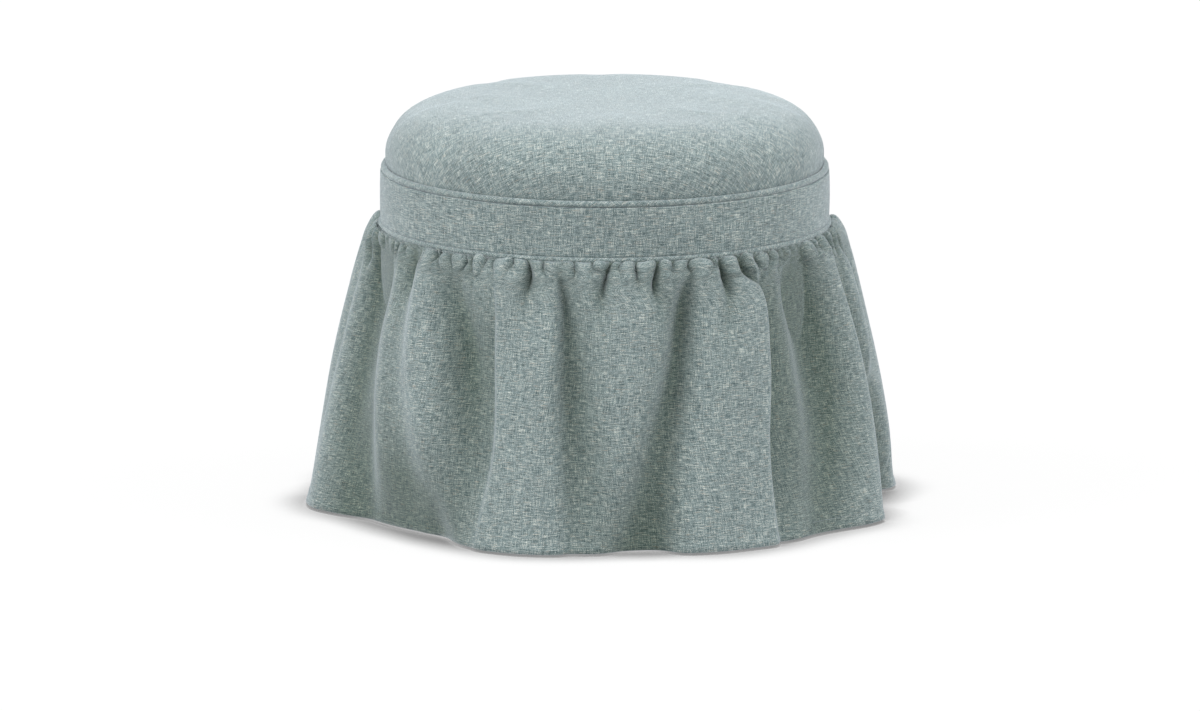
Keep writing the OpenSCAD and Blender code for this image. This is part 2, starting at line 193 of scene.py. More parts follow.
def ramp(tree, factor, stops):
    """A colour ramp through (place, hex) stops."""
    made = add(tree, "ValToRGB", {"Fac": factor})
    elements = made.color_ramp.elements
    while len(elements) < len(stops):
        elements.new(0.5)
    for element, (place, code) in zip(elements, stops):
        element.position = place
        element.color = srgb(code)
    return made.outputs["Color"]


def bare_tree(owner):
    """The node tree of a material or world, switched on and emptied."""
    owner.use_nodes = True
    owner.node_tree.nodes.clear()
    return owner.node_tree


def new_finish(name):
    """An empty material with its Principled shader."""
    material = bpy.data.materials.new(name)
    tree = bare_tree(material)
    shader = add(tree, "BsdfPrincipled")
    add(tree, "OutputMaterial", {"Surface": shader.outputs["BSDF"]})
    return material, tree, shader


def set_shader(tree, shader, **values):
    """Fills or links the shader's inputs; underscores stand for spaces."""
    for name, value in values.items():
        socket = shader.inputs[name.replace("_", " ")]
        if isinstance(value, bpy.types.NodeSocket):
            tree.links.new(value, socket)
        else:
            socket.default_value = value


def slub_linen_cloth():
    """Chenille-linen upholstery weave, yarn-dyed in grey sea green: pale slubs over darker gaps, a soft
    nap that pales and turns bluish at a low angle."""
    material, tree, shader = new_finish("slub_linen_cloth")
    # The photograph's yarns are finer than this, but drawn closer together they look blotchy
    yarn_pitch = 1.0 * MM
    yarn_relief = 1.3 * MM
    slub_run = 12 * MM
    streak_run = 45 * MM
    streak_width = 3 * MM
    cloud_size = 90.9 * MM
    # How much of the tone comes from knots and thick slubs, and how strong the beige and the painted
    # shade in the hollows are
    knot_share = 0.36
    thick_share = 0.06
    beige_share = 0.55
    painted_shade_share = 0.75
    # Layers of noise that lie apart, so that none repeats another
    weft_layer, knot_layer, beige_layer = 7.0, 3.0, 21.0
    yarn_noise = {"Scale": 1.0, "Detail": 1.5, "Roughness": 0.6}
    slow_noise = {"Scale": 1.0, "Detail": 1.0}

    cloth = add(tree, "UVMap", uv_map="cloth").outputs["UV"]
    place = add(tree, "SeparateXYZ", {"Vector": cloth})
    u, v = place.outputs["X"], place.outputs["Y"]
    across = add(tree, "Math", {0: u, 1: 1 / yarn_pitch}, operation="MULTIPLY").outputs[0]
    down = add(tree, "Math", {0: v, 1: 1 / yarn_pitch}, operation="MULTIPLY").outputs[0]
    along_u = add(tree, "Math", {0: u, 1: 1 / slub_run}, operation="MULTIPLY").outputs[0]
    along_v = add(tree, "Math", {0: v, 1: 1 / slub_run}, operation="MULTIPLY").outputs[0]
    warp_at = add(tree, "CombineXYZ", {"X": across, "Y": along_v}).outputs[0]
    weft_at = add(tree, "CombineXYZ", {"X": along_u, "Y": down, "Z": weft_layer}).outputs[0]
    knot_at = add(tree, "CombineXYZ", {"X": across, "Y": down, "Z": knot_layer}).outputs[0]
    warp = add(tree, "TexNoise", {"Vector": warp_at, **yarn_noise}).outputs["Fac"]
    weft = add(tree, "TexNoise", {"Vector": weft_at, **yarn_noise}).outputs["Fac"]
    knots = add(tree, "TexNoise", {"Vector": knot_at, "Scale": 1.1, "Detail": 2.0,
                                   "Roughness": 0.7}).outputs["Fac"]
    # Plain weave: warp and weft take turns on top
    waves = []
    for yarns in (across, down):
        turn = add(tree, "Math", {0: yarns, 1: math.pi}, operation="MULTIPLY").outputs[0]
        waves.append(add(tree, "Math", {0: turn}, operation="SINE").outputs[0])
    over = add(tree, "Math", {0: waves[0], 1: waves[1]}, operation="MULTIPLY").outputs[0]
    on_top = add(tree, "MapRange", {"Value": over, "From Min": -0.6, "From Max": 0.35}).outputs[0]
    yarn = add(tree, "Mix", {0: on_top, 2: warp, 3: weft}).outputs[0]
    fine = add(tree, "Mix", {0: knot_share, 2: yarn, 3: knots}).outputs[0]
    # Thicker slubs, lying both ways, show from further off
    slubs = []
    for at, stretch in ((warp_at, (0.45, 0.6, 1)), (weft_at, (0.6, 0.45, 1))):
        slow = add(tree, "VectorMath", {0: at, 1: stretch}, operation="MULTIPLY").outputs[0]
        slubs.append(add(tree, "TexNoise", {"Vector": slow, **slow_noise}).outputs["Fac"])
    thickest = add(tree, "Math", {0: slubs[0], 1: slubs[1]}, operation="MAXIMUM").outputs[0]
    levelled = add(tree, "Math", {0: thickest, 1: 0.06}, operation="SUBTRACT").outputs[0]
    tone = add(tree, "Mix", {0: thick_share, 2: fine, 3: levelled}).outputs[0]
    lively = add(tree, "MapRange", {"Value": tone, "From Min": 0.405, "From Max": 0.61}).outputs[0]
    dyed = ramp(tree, lively, [(0.0, "#4e5f60"), (0.34, "#778889"), (0.62, "#94a2a2"),
                               (0.84, "#b8c1bc"), (1.0, "#dbded6")])
    # A few slubs are undyed, a warm beige
    rare_at = add(tree, "CombineXYZ", {"X": along_u, "Y": down, "Z": beige_layer}).outputs[0]
    rare = add(tree, "TexNoise", {"Vector": rare_at, "Scale": 0.9, "Detail": 1.0}).outputs["Fac"]
    beige = add(tree, "MapRange", {"Value": rare, "From Min": 0.64, "From Max": 0.74,
                                   "To Max": beige_share}).outputs[0]
    slubbed = add(tree, "Mix", {0: beige, 6: dyed, 7: srgb("#bfb3a3")}, data_type="RGBA").outputs[2]
    # Dye and nap vary slowly over a hand's width
    cloud = add(tree, "TexNoise", {"Vector": cloth, "Scale": 1 / cloud_size,
                                   "Detail": 3.0}).outputs["Fac"]
    cloud_level = add(tree, "MapRange", {"Value": cloud, "From Min": 0.3, "From Max": 0.7,
                                         "To Min": 0.93, "To Max": 1.06}).outputs[0]
    # Yarns differ from cone to cone: long faint streaks, lying both ways
    streaks = []
    for stretch in ((1 / streak_run, 1 / streak_width, 1), (1 / streak_width, 1 / streak_run, 1)):
        lying = add(tree, "Mapping", {"Vector": cloth, "Scale": stretch}).outputs[0]
        streaks.append(add(tree, "TexNoise", {"Vector": lying, **slow_noise}).outputs["Fac"])
    both_ways = add(tree, "Math", {0: streaks[0], 1: streaks[1]}).outputs[0]
    streak_level = add(tree, "MapRange", {"Value": both_ways, "From Min": 0.75, "From Max": 1.25,
                                          "To Min": 0.91, "To Max": 1.09}).outputs[0]
    levels = add(tree, "Math", {0: cloud_level, 1: streak_level}, operation="MULTIPLY").outputs[0]
    clouded = add(tree, "VectorMath", {0: slubbed, "Scale": levels}, operation="SCALE").outputs[0]
    # Painted shade: down in the folds' hollows and the gathers' creases the cloth is painted darker and
    # greener, more the deeper they are, for the shade that falls there; the crests keep the plain colour
    painted_fold_shade = add(tree, "Attribute", attribute_name="painted_fold_shade").outputs["Fac"]
    shade_amount = add(tree, "Math", {0: painted_fold_shade, 1: painted_shade_share}, operation="MULTIPLY").outputs[0]
    shade = add(tree, "Mix", {0: shade_amount, 6: WHITE, 7: srgb("#8b9785")}, data_type="RGBA").outputs[2]
    with_painted_shade = add(tree, "VectorMath", {0: clouded, 1: shade}, operation="MULTIPLY").outputs[0]
    relief = add(tree, "Bump", {"Height": tone, "Strength": 0.6, "Distance": yarn_relief}).outputs[0]
    set_shader(tree, shader, Base_Color=with_painted_shade, Roughness=0.92, IOR=1.45, Specular_IOR_Level=0.15,
               Sheen_Weight=1.0, Sheen_Roughness=0.42, Sheen_Tint=srgb("#dbe5ec"), Normal=relief)
    return material


def object_noise(tree, scale, stretch):
    """Noise in the object's own metres, stretched along its axes."""
    at = add(tree, "TexCoord").outputs["Object"]
    spread = add(tree, "Mapping", {"Vector": at, "Scale": stretch}).outputs[0]
    return add(tree, "TexNoise", {"Vector": spread, "Scale": scale, "Detail": 3.0,
                                  "Roughness": 0.55}).outputs["Fac"]


GRAIN_RELIEF = 0.3 * MM


def mottled(name, stops, grain_size, stretch=(1, 1, 1), bump=0.2, **shader_values):
    """A finish whose colour and relief follow one noise, for the plainer materials."""
    material, tree, shader = new_finish(name)
    grain = object_noise(tree, 1 / grain_size, stretch)
    relief = add(tree, "Bump", {"Height": grain, "Strength": bump, "Distance": GRAIN_RELIEF})
    set_shader(tree, shader, Base_Color=ramp(tree, grain, stops), Normal=relief.outputs[0],
               **shader_values)
    return material


cloth = slub_linen_cloth()
# Polyester wadding, carded: lofty and white, with a faint fibre shadow
wadding = mottled("polyester_wadding", [(0.3, "#dcdcd6"), (0.7, "#f4f4f0")], 4.55 * MM,
                  bump=0.6, Roughness=0.95, Sheen_Weight=0.3)
# Open-cell polyurethane foam, sawn: cream with fine dark cells
foam = mottled("cream_foam", [(0.35, "#d8cda6"), (0.6, "#efe6c8")], 1.43 * MM, bump=0.7,
               Roughness=0.9)
# Cotton piping cord, twisted: off-white with slanting shadows
piping = mottled("cotton_cord", [(0.3, "#cfc9b8"), (0.7, "#ece8dc")], 2.5 * MM, bump=0.6,
                 Roughness=0.9)
# Grey-brown card tack strip, pressed: flat and fibrous
card = mottled("pressed_card", [(0.3, "#a98c65"), (0.7, "#c0a27a")], 3.33 * MM, bump=0.2,
               Roughness=0.85)
# Black spun-bonded polypropylene: matt, with a pale point-bonded fleck
dust_cloth = mottled("spunbond_black_cloth", [(0.35, "#151516"), (0.62, "#202022"), (0.75, "#323234")],
                     1.11 * MM, bump=0.5, Roughness=0.8, Sheen_Weight=0.15)
# Birch plywood, sanded: long pale grain
birch_ply = mottled("birch_plywood", [(0.3, "#b8935f"), (0.5, "#cfae7d"), (0.7, "#dcc096")], 16.7 * MM,
                    stretch=(1, 9, 9), bump=0.15, Roughness=0.6, Coat_Weight=0.1)
# Rubberwood, planed and clear sealed: short even grain down the leg, a soft shine
rubberwood = mottled("sealed_rubberwood", [(0.3, "#a97c4d"), (0.5, "#c69c6d"), (0.72, "#d6b184")],
                     11.1 * MM, stretch=(6, 6, 0.7), bump=0.12, Roughness=0.45, Coat_Weight=0.25)
# Zinc-plated steel, barrelled: pale grey metal with faint clouds
zinc_steel = mottled("zinc_plated_steel", [(0.3, "#9fa4a6"), (0.7, "#c6cacb")], 3.85 * MM, bump=0.05,
                     Metallic=1.0, Roughness=0.34)
# Galvanised staple wire, drawn: finer and duller than the plated screws
staple_wire = mottled("galvanised_wire", [(0.3, "#8f9294"), (0.7, "#b4b7b8")], 2 * MM, bump=0.05,
                      Metallic=1.0, Roughness=0.45)
# Moulded nylon: near black, slightly glossy, scuffed where it meets the floor
nylon = mottled("moulded_nylon", [(0.35, "#232324"), (0.65, "#2f2f30"), (0.8, "#48484a")],
                5.55 * MM, bump=0.1, Roughness=0.5, IOR=1.53)
# Core-spun polyester thread: a shade paler than the cloth, with a slight shine
thread = mottled("polyester_thread", [(0.3, "#8e9d9c"), (0.7, "#b3bfbc")], 1.11 * MM, bump=0.3,
                 Roughness=0.6, Sheen_Weight=0.3)

NODE_FINISHES = {
    wadding: ["seat_batting", "band_wadding"],
    foam: ["seat_foam"],
    piping: ["top_welt_cord", "lower_welt_cord"],
    card: ["tack_strip"],
    birch_ply: ["seat_board", "top_ring", "lower_ring", "drum_hoop"],
    rubberwood: ["leg_front_left", "leg_front_right", "leg_rear_left", "leg_rear_right", "leg_blocks"],
    zinc_steel: ["leg_bolts", "leg_washers", "leg_nuts", "frame_screws", "seat_screws", "glide_screws"],
    staple_wire: ["seat_cover_staples", "band_cover_staples", "skirt_staples", "dust_cover_staples"],
    nylon: ["floor_glides"],
}
for finish, names in NODE_FINISHES.items():
    for name in names:
        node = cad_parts[name]
        node.data.materials.clear()
        node.data.materials.append(finish)


def dress(piece, finish, slot, *nodes):
    """Gives a new piece its finish and body, and hides the CAD nodes that it stands for; slot is not
    used.
    """
    piece.data.materials.append(finish)
    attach(piece, "root")
    if nodes:
        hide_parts(*nodes)
    return piece


# Seat: one round of cloth pulled over the foam and turned under

CROWN_POWER = 6
SEAM_RISE = 6.2 * MM
RIM_RISE = 14 * MM
SIDE_DRAW = 0.8 * MM
EDGE_ROUND = 6.5 * MM
TUCK_R = 225 * MM
SEAT_CELLS = 120
SECTION_STEPS = 1200
# Slow waves that come in over the crown's outer part, by the cloth's run from the middle
EDGE_FULLNESS = 0.8
EDGE_WAVES = [(5, 0.16), (9, 0.14), (14, 0.08), (23, 0.05)]
WAVES_FROM = 200 * MM
WAVES_FADE = 100 * MM
# Finer pulls on the side: they start this far over the rim and are full one fade lower
PULL_WAVES = [(37, 0.16), (58, 0.14), (83, 0.1)]
PULLS_TOP = 20 * MM
PULLS_FADE = 34 * MM
# The simulated swelling: its frames, its deepest dent, the rings it is averaged in, its smoothing
SWELL_FRAMES = 20
DENT_LIMIT = 0.8 * MM
RING_STEP = 4 * MM
PADDING_SPREAD = 10
seat_base = seat_low.z
rim_z = seat_base + SEAM_RISE + RIM_RISE
crown_h = seat_high.z - rim_z


def seat_section(count):
    """The seat's half section from the middle of the crown to the tuck under its edge, evenly spaced."""
    q = np.linspace(0, math.pi / 2, 400)
    lean = np.power(np.sin(q), 2 / CROWN_POWER) * SEAT_R
    crown = np.stack([lean, rim_z + crown_h * np.cos(q)], -1)
    side_r = SEAT_R - SIDE_DRAW
    bend = np.linspace(0, math.pi / 2, 24)
    edge = np.stack([side_r - EDGE_ROUND * (1 - np.cos(bend)),
                     seat_base + EDGE_ROUND * (1 - np.sin(bend))], -1)
    tuck = np.array([[TUCK_R, seat_base]])
    line = np.concatenate([crown, edge, tuck])
    run = run_along(line)
    at = np.linspace(0, run[-1], count)
    return at, np.interp(at, run, line[:, 0]), np.interp(at, run, line[:, 1])


def disc_places(cells):
    """Places of a square grid pressed into a disc: distance from the middle, 0 to 1, and angle."""
    side = np.linspace(-1, 1, cells + 1)
    x, y = np.meshgrid(side, side)
    reach = np.maximum(np.abs(x), np.abs(y))
    length = np.hypot(x, y)
    scale = np.divide(reach, length, out=np.ones_like(reach), where=length > 0)
    # Squares near the middle stay square, and the outer ones turn round
    soft = scale * reach + (1 - reach)
    return np.hypot(x * soft, y * soft), np.arctan2(x * soft, -y * soft)


def build_seat():
    """The crowned cushion as a closed form, its cloth laid out by the run from the crown's middle."""
    share, angle = disc_places(SEAT_CELLS)
    run, radius, height = seat_section(SECTION_STEPS)
    distance = share * run[-1]
    r = np.interp(distance, run, radius)
    z = np.interp(distance, run, height)
    low_side = np.clip((rim_z + PULLS_TOP - z) / PULLS_FADE, 0, 1)
    outer = np.clip((distance - WAVES_FROM) / WAVES_FADE, 0, 1)
    waves = (EDGE_FULLNESS + wander(angle, EDGE_WAVES, 0.8)) * MM
    pulls = wander(angle, PULL_WAVES, 0.3) * MM * low_side**2
    r = r + (waves * outer + pulls) * (z > seat_base + 1 * MM)
    top = round_points(r, angle, z).reshape(-1, 3)
    uv = np.stack([distance * np.sin(angle), distance * np.cos(angle)], -1).reshape(-1, 2)
    index = np.arange(share.size).reshape(share.shape)
    a, b, c, d = index[:-1, :-1], index[:-1, 1:], index[1:, 1:], index[1:, :-1]
    faces = np.stack([a, b, c, d], -1).reshape(-1, 4).tolist()
    # The underside is the same net again, flat and facing down, joined along the turned-under edge
    rim = np.zeros_like(index, bool)
    rim[0], rim[-1], rim[:, 0], rim[:, -1] = True, True, True, True
    below = np.where(rim, index, 0)
    below[~rim] = len(top) + np.arange((~rim).sum())
    under = round_points((share * TUCK_R)[~rim], angle[~rim], seat_base)
    a, b, c, d = below[:-1, :-1], below[:-1, 1:], below[1:, 1:], below[1:, :-1]
    faces += np.stack([d, c, b, a], -1).reshape(-1, 4).tolist()
    points = np.concatenate([top, under])
    uv = np.concatenate([uv, under[:, :2]])
    return object_from("seat_cushion", points, faces, uv)


def puff_up(piece, pinned_below):
    """Blows the cushion up under its cloth, then keeps each point near its place."""
    scene = bpy.context.scene
    start = np.array([v.co for v in piece.data.vertices])
    group = piece.vertex_groups.new(name="held")
    group.add([int(i) for i in np.nonzero(start[:, 2] < pinned_below)[0]], 1.0, "REPLACE")
    shape = piece.modifiers.new("cloth", "CLOTH")
    shape.settings.quality = 5
    shape.settings.mass = 0.4
    shape.settings.tension_stiffness = 12
    shape.settings.compression_stiffness = 12
    shape.settings.bending_stiffness = 2.0
    shape.settings.vertex_group_mass = "held"
    shape.settings.use_pressure = True
    shape.settings.uniform_pressure_force = 4
    shape.settings.shrink_min = -0.006
    shape.settings.effector_weights.gravity = 0
    shape.collision_settings.use_collision = False
    shape.point_cache.frame_end = SWELL_FRAMES
    for step in range(1, SWELL_FRAMES + 1):
        scene.frame_set(step)
    graph = bpy.context.evaluated_depsgraph_get()
    done = piece.evaluated_get(graph)
    swollen = np.array([v.co for v in done.data.vertices])
    piece.modifiers.remove(shape)
    scene.frame_set(1)
    moved = swollen - start
    # The even part of the swelling is taken off, so that only the cloth's own unevenness stays
    radius = np.hypot(start[:, 0], start[:, 1])
    key = np.round(np.stack([radius, start[:, 2]], -1) / RING_STEP).astype(int)
    inverse = np.unique(key, axis=0, return_inverse=True)[1].ravel()
    count = np.bincount(inverse)
    outward = np.stack([start[:, 0], start[:, 1], 0 * radius], -1) / np.maximum(radius, 1 * MM)[:, None]
    side = (moved * outward).sum(1)
    even_side = (np.bincount(inverse, side) / count)[inverse]
    even_up = (np.bincount(inverse, moved[:, 2]) / count)[inverse]
    kept = moved - outward * even_side[:, None] - np.stack([0 * even_up, 0 * even_up, even_up], -1)
    # The padding spreads each dent over a few centimetres
    pairs = np.empty(2 * len(piece.data.edges), np.int64)
    piece.data.edges.foreach_get("vertices", pairs)
    ends = np.concatenate([pairs[0::2], pairs[1::2]])
    others = np.concatenate([pairs[1::2], pairs[0::2]])
    joined = np.bincount(ends, minlength=len(start))[:, None]
    for _ in range(PADDING_SPREAD):
        beside = np.stack([np.bincount(ends, kept[others, i], len(start)) for i in range(3)], -1)
        kept = 0.5 * kept + 0.5 * beside / joined
    length = np.linalg.norm(kept, axis=1, keepdims=True)
    kept = kept * np.minimum(1, DENT_LIMIT / np.maximum(length, 1e-9))
    piece.data.vertices.foreach_set("co", (start + kept).astype(np.float32).ravel())
    piece.data.update()


seat = build_seat()
puff_up(seat, seat_base + 2 * MM)
smoother = seat.modifiers.new("finer", "SUBSURF")
smoother.levels = 1
smoother.render_levels = 1
dress(seat, cloth, "upholstery", "seat_cover")


# Band: straight cloth round the drum, joined at the back

BAND_COLUMNS = 720
BAND_ROWS = 26
BAND_INSET = 0.5 * MM
BAND_SWELL = 0.7 * MM
BAND_WAVES = [(3, 0.25), (7, 0.2), (16, 0.12), (29, 0.08)]
BAND_SEAM_DIP = 1.3 * MM
BAND_SEAM_HALF = 1.1 * MM
# How far the rows of its two edges are tucked in behind the welts, in mm: below zero is inwards
BAND_FOOT = [-5.0, -2.0]
BAND_HEAD = [0.1, -0.2, -0.9, -6]


def build_band():
    """The band, slightly full over its wadding, tucked in at both edges."""
    angle = np.linspace(-math.pi, math.pi, BAND_COLUMNS + 1)
    low = LOW_WELT_Z + 1.5 * MM
    high = band_high.z
    face = np.linspace(low + 2 * MM, high - 2.4 * MM, BAND_ROWS)
    heights = np.concatenate([[low, low + 0.8 * MM], face,
                              [high - 1.2 * MM, high - 0.3 * MM, high, high]])
    share = np.clip((heights - low) / (high - low), 0, 1)
    full = BAND_SWELL * np.sin(math.pi * share)
    full[:2] = np.array(BAND_FOOT) * MM
    full[-4:] = np.array(BAND_HEAD) * MM
    seam = BAND_SEAM_DIP * np.exp(-(((np.abs(angle) - math.pi) * BAND_R) / BAND_SEAM_HALF) ** 2)
    rings, flat = [], []
    for z, swell, s in zip(heights, full, share):
        soft = wander(angle, BAND_WAVES, 2.0 * s) * MM * math.sin(math.pi * min(max(s, 0.05), 0.95))
        r = BAND_R - BAND_INSET + swell + soft - seam
        rings.append(round_points(r[:-1], angle[:-1], z))
        flat.append(np.stack([angle * BAND_R, 0 * angle + z], -1))
    return ring_grid("band", np.array(rings), np.array(flat))


dress(build_band(), cloth, "upholstery", "band_cover")


# Welts: cloth cut on the bias and sewn round a cord

WELT_COLUMNS = 900
WELT_SIDES = 20
WELT_WAVES = [(19, 0.022), (43, 0.02), (97, 0.016)]
# At its joint the cover is lapped: half the joint's width, and by what share it is thicker there
LAP_HALF = 2.2 * MM
LAP_SWELL = 0.12


def build_welt(name, ring_at, z, radius, joint):
    """A covered cord, slightly uneven, with its lap joint at the given angle."""
    angle = np.linspace(-math.pi, math.pi, WELT_COLUMNS + 1)
    along = angle * ring_at
    uneven = 1 + wander(angle, WELT_WAVES, ring_at * 90)
    lap = np.exp(-(((angle - joint) * ring_at) / LAP_HALF) ** 2)
    thick = radius * (uneven + LAP_SWELL * lap)
    rings, flat = [], []
    for k in range(WELT_SIDES + 1):
        turn = TURN * (k % WELT_SIDES) / WELT_SIDES
        r = ring_at + thick * math.cos(turn)
        height = z + thick * math.sin(turn)
        rings.append(round_points(r[:-1], angle[:-1], height[:-1]))
        girth = radius * TURN * k / WELT_SIDES
        flat.append(np.stack([(along + girth) / math.sqrt(2), (along - girth) / math.sqrt(2)], -1))
    made = ring_grid(name, np.array(rings), np.array(flat))
    work = bmesh.new()
    work.from_mesh(made.data)
    bmesh.ops.remove_doubles(work, verts=work.verts, dist=1e-7)
    bmesh.ops.recalc_face_normals(work, faces=work.faces)
    work.to_mesh(made.data)
    work.free()
    return made


top_welt = build_welt("top_welt_cover", TOP_WELT_RING, TOP_WELT_Z, TOP_WELT_R, math.radians(171))
dress(top_welt, cloth, "upholstery", "top_welt")
low_welt = build_welt("lower_welt_cover", LOW_WELT_RING, LOW_WELT_Z, LOW_WELT_R, math.radians(-176))
dress(low_welt, cloth, "upholstery", "lower_welt")


# Skirt: gathered cloth, measured down its drop from the band (0) to the hem (1)

SKIRT_TOP = LOW_WELT_Z - LOW_WELT_R - 0.3 * MM
HEM_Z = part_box("skirt_front")[0].z
DROP = SKIRT_TOP - HEM_Z
SEAM_R = BAND_R + 0.8 * MM
SKIRT_COLUMNS = 1320
SKIRT_ROWS = 96
TRIAL_COLUMNS = 7200
# The rows lie closer together towards the top
ROW_POWER = 1.55
FLAT_LENGTH = 2.35
HEADING_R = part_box("drum_hoop")[1].x + CLOTH_T + 0.2 * MM
HEADING_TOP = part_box("tack_strip")[1].z
HEM_TURN = 12 * MM
# The turned-up hem inside: how far in and up from the hem's edge, in mm
HEM_INSIDE = [(0.9, -0.5), (2.0, 0.6), (2.6, 4), (2.5, 8), (2.2, 12)]
# The doubled hem stands out a little and dips where it is stitched: how much, and over what height
HEM_SWELL = 1.3 * MM
HEM_STIFF = 7 * MM
STITCH_DIP = 0.7 * MM
STITCH_DIP_HALF = 1.8 * MM
SIDE_SEAMS = [97, -97]
STATIONS = [0, 0.12, 0.35, 0.65, 1]

# Outline through the crests of the folds: share of the drop, radius in mm
CREST_AT = [0, 0.03, 0.1, 0.28, 0.5, 0.75, 1]
CREST_RADIUS = [277, 283.5, 289.5, 304, 320.5, 336, 351]

# Folds that run down the skirt, each a trough between two crests. Each has the angles of its left
# edge, of its right edge and its depth in mm at the five stations, then how far each edge is spread,
# in degrees: small for a sharp crest. Below zero a depth is a ridge.
FOLDS = [
    ((-77, -78, -79, -78, -76), (-62, -63, -63.5, -62, -60), (6, 28, 31, 24, 8), 2.2, 2.6),
    ((-53, -51, -47.5, -44, -36), (-46, -44.5, -42.5, -38, -30), (0, -6, -8, -8, -3), 1.8, 1.3),
    ((-80, -76, -72, -70, -69), (-36, -36, -36, -36, -32.5), (0, 0, 0, 11, 43), 4.5, 2.6),
    ((-59, -58, -57, -54, -50), (-52, -51, -49, -46, -44), (14, 15, 9, 3, 0), 1.6, 1.6),
    ((-44, -42.5, -37.5, -33.5, -32), (-37, -35, -30, -27.5, -27.5), (4, 15, 17, 10, 2), 1.7, 2.0),
    ((-43, -41.5, -36.5, -33, -33), (-27, -25.2, -24.2, -23, -26.3), (1, 6, 13, 11, 4), 2.2, 0.45),
    ((-13, -12.3, -11, -9.5, -8), (-10.4, -7.4, -3.8, -1, 2), (10, 20, 21, 17, 9), 0.6, 1.7),
    ((20.4, 17, 13.6, 7.6, 1.6), (22.8, 21.9, 19.4, 15.6, 13.5), (9, 25, 27, 22, 25), 1.4, 1.1),
    ((37, 39.2, 38.6, 36, 36), (63, 65, 67, 67, 60), (4, 14, 20, 18, 12), 0.45, 2.2),
    ((49, 51, 52, 50, 45), (58, 60, 62, 60, 54), (4, 17, 20, 16, 9), 1.8, 2.0),
    ((69.5, 70.5, 72.7, 73.2, 69.8), (77, 79, 81, 89, 98), (5, 14, 18, 18, 36), 0.5, 1.2),
    ((83, 84, 86, 86, 84), (90, 91, 92, 92, 94), (5, 12, 12, 6, 0), 0.8, 1.4),
    ((104, 106, 109, 110, 110), (113, 114, 115, 114, 114), (14, 17, 15, 9, 6), 1.6, 1.2),
    ((119, 121, 121, 119, 117), (129, 132, 134, 135, 136), (15, 22, 24, 28, 40), 1.4, 0.6),
    ((142, 145, 149, 149, 149), (150, 154, 158, 162, 163), (13, 20, 24, 26, 30), 0.6, 1.8),
    ((167, 169, 172, 175, 175), (175, 177, 180, 181, 182), (13, 16, 13, 8, 4), 1.5, 1.5),
    ((-177, -175, -174, -174, -174), (-166, -163, -160, -158, -157), (15, 23, 25, 27, 36), 1.6, 0.6),
    ((-155, -153, -151, -149, -148), (-148, -147, -145, -144, -143), (13, 14, 11, 7, 3), 1.4, 1.4),
    ((-143, -142, -141, -140, -140), (-133, -130, -127, -126, -125), (16, 24, 27, 31, 42), 0.7, 1.8),
    ((-121, -118, -114, -112, -111), (-111, -107, -103, -100, -98), (14, 20, 22, 24, 27), 1.7, 0.7),
    ((-97, -95, -93, -92, -91), (-91, -89, -87, -86, -85), (11, 12, 9, 5, 2), 1.3, 1.3),
]

FOLD_SCALE = 1.25

# Cloth lapped over its neighbour at a fold's edge: angles and shove in mm at the five stations,
# and its half width in degrees. A shove is towards the right.
LAPS = [
    ((-16, -14, -11, -10, -9), (7, 8, 3, 0, 0), 3.0),
    ((-26.2, -24.4, -23.3, -22, -25.3), (-2, -4, -4, -3, 0), 2.6),
    ((26.5, 23.8, 20.8, 17, 16), (-2, -4, -3, 0, 0), 3.5),
    ((36, 38.4, 37.6, 35, 34.8), (5, 6, 6, 4, 0), 2.6),
    ((68, 69, 71.5, 72.5, 71), (5, 6, 6, 5, 3), 2.6),
    ((81, 82, 84, 84, 82), (4, 5, 4, 0, 0), 2.2),
    ((-64, -65, -65, -60, -58), (-3, -4, -3, 0, 0), 3.5),
    ((131, 134, 136, 137, 138), (-5, -6, -5, -4, 0), 3),
    ((141, 144, 148, 148, 148), (5, 6, 5, 4, 0), 3),
    ((-164, -161, -158, -156, -155), (-5, -6, -5, -4, 0), 3),
    ((-144, -143, -142, -141, -141), (5, 6, 5, 4, 0), 3),
    ((-109, -105, -101, -98, -96), (-4, -5, -5, -3, 0), 3),
]

# Gathers just under the band, at the front: angle at the band and at their end, length and depth in mm
FRONT_GATHERS = [
    (-87, -86, 56, 9), (-83, -82, 44, 9), (-79, -78.5, 62, 10), (-75, -75, 50, 9), (-63, -62, 18, 7),
    (-59.5, -59, 14, 6), (-56, -54, 40, 9), (-50.5, -50, 15, 6), (-47, -46.5, 18, 7), (-38, -37, 17, 7),
    (-34, -33, 22, 9), (-31, -31, 13, 6), (-28, -27, 15, 6), (-24, -24, 15, 8), (-20, -19, 44, 9),
    (-16, -15.5, 17, 8), (-8, -7, 20, 6), (-3, -3, 15, 7), (2, -1, 62, 9), (5, 4, 15, 6),
    (8, 8, 25, 8), (13, 12.5, 50, 10), (17, 16, 17, 7), (26.5, 26, 17, 7), (30, 28.5, 74, 10),
    (34.5, 38, 34, 11), (44, 44, 17, 8), (48, 48, 20, 7), (51, 51, 15, 7),
    (60, 60, 26, 9), (63.5, 64, 17, 7), (66.5, 67, 20, 8), (74, 75, 24, 8), (82, 82, 30, 8),
    (86, 86, 24, 7),
]
# Small ones that crowd in between, at the front
SMALL_GATHERS = [
    (-71, -70.5, 32, 8), (-67, -66.5, 28, 8), (-53, -52.3, 18, 7), (-44, -43.5, 20, 8),
    (-41, -40.5, 14, 6), (22, 22, 15, 7), (41, 41.5, 18, 7), (54, 54, 20, 8),
    (57, 57.5, 16, 7), (70, 71, 30, 8), (78, 78.5, 26, 8),
]
